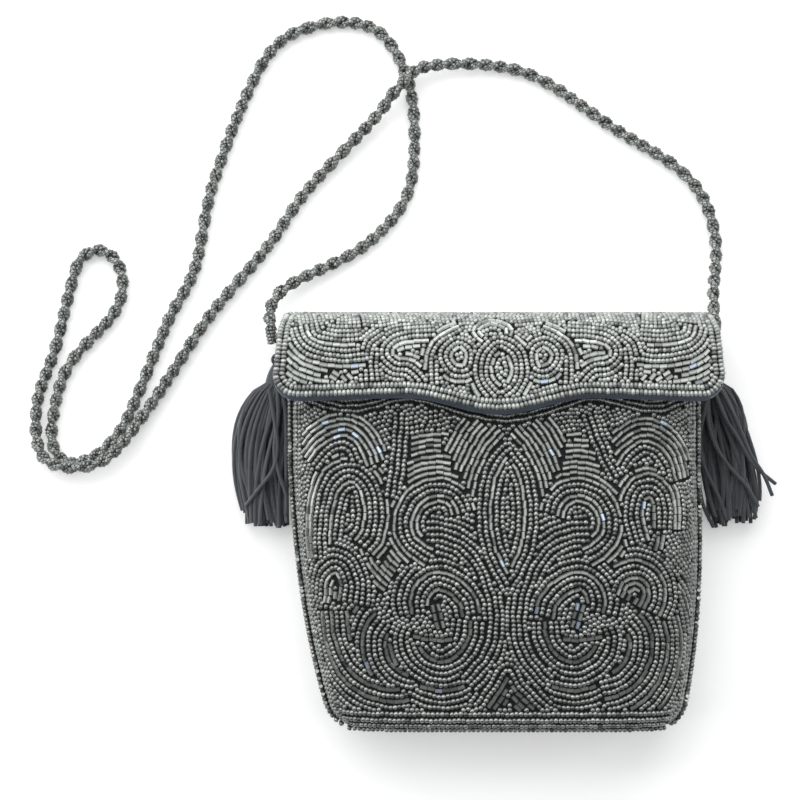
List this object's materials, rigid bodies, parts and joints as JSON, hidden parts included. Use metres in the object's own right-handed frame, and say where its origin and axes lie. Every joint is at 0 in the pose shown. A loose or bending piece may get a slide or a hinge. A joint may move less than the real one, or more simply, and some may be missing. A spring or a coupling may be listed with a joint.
{
  "type": "beaded evening bag",
  "caption": "Small stiffened beaded evening bag with a scalloped folding flap, a long beaded rope strap and side tassels.",
  "frame": {"origin": "on the resting face of the back panel, at mid height and on the bag's middle line", "axes": "+X across the bag to the right as the front is seen, +Y from the base to the fold of the flap, +Z out of the front"},
  "size_m": [0.2688, 0.2592, 0.0461],
  "materials": {
    "beadwork": "gunmetal glass seed beads and bugles sewn close on black cloth",
    "satin": "dark slate blue satin",
    "snap_metal": "dull nickel",
    "thread": "black sewing thread and tape",
    "tassel_cord": "matt slate grey rayon cord"
  },
  "bodies": {
    "root": {"back_panel": "beadwork", "front_panel": "beadwork", "gusset_left": "beadwork", "gusset_right": "beadwork", "base_panel": "beadwork", "lining": "satin", "spine_lining": "satin", "mouth_binding": "satin", "snap_socket": "snap_metal", "snap_socket_washer": "snap_metal", "strap_tab_left": "thread", "strap_tab_right": "thread", "strap_end_left": "thread", "strap_end_right": "thread", "strap_rope": "beadwork"},
    "flap_top": {"flap_top_panel": "beadwork", "flap_top_lining": "satin"},
    "flap_front": {"flap_front_panel": "beadwork", "flap_front_lining": "satin", "snap_stud": "snap_metal", "snap_stud_washer": "snap_metal"},
    "loop_left": {"tassel_loop_left": "tassel_cord"},
    "loop_right": {"tassel_loop_right": "tassel_cord"},
    "tassel_left": {"tassel_head_left": "tassel_cord", "tassel_neck_left": "thread", "tassel_skirt_left": "tassel_cord"},
    "tassel_right": {"tassel_head_right": "tassel_cord", "tassel_neck_right": "thread", "tassel_skirt_right": "tassel_cord"}
  },
  "joints": [
    {"name": "flap_hinge", "type": "hinge", "parent": "root", "child": "flap_top", "pos_m": [0, 0.0732, 0.0106], "axis": [-1, 0, 0], "range_deg": [0, 90]},
    {"name": "flap_fold", "type": "hinge", "parent": "flap_top", "child": "flap_front", "pos_m": [0, 0.07065, 0.04215], "axis": [-1, 0, 0], "range_deg": [0, 90]},
    {"name": "loop_lift_left", "type": "hinge", "parent": "root", "child": "loop_left", "pos_m": [-0.07987, 0.065, 0.0063], "axis": [-1, 0, 0], "range_deg": [0, 45]},
    {"name": "loop_lift_right", "type": "hinge", "parent": "root", "child": "loop_right", "pos_m": [0.07794, 0.065, 0.0063], "axis": [-1, 0, 0], "range_deg": [0, 45]},
    {"name": "tassel_swing_left", "type": "hinge", "parent": "loop_left", "child": "tassel_left", "pos_m": [-0.07987, 0.0579, 0.0063], "axis": [0, 0, -1], "range_deg": [0, 35]},
    {"name": "tassel_swing_right", "type": "hinge", "parent": "loop_right", "child": "tassel_right", "pos_m": [0.07794, 0.0579, 0.0063], "axis": [0, 0, 1], "range_deg": [0, 60]}
  ]
}
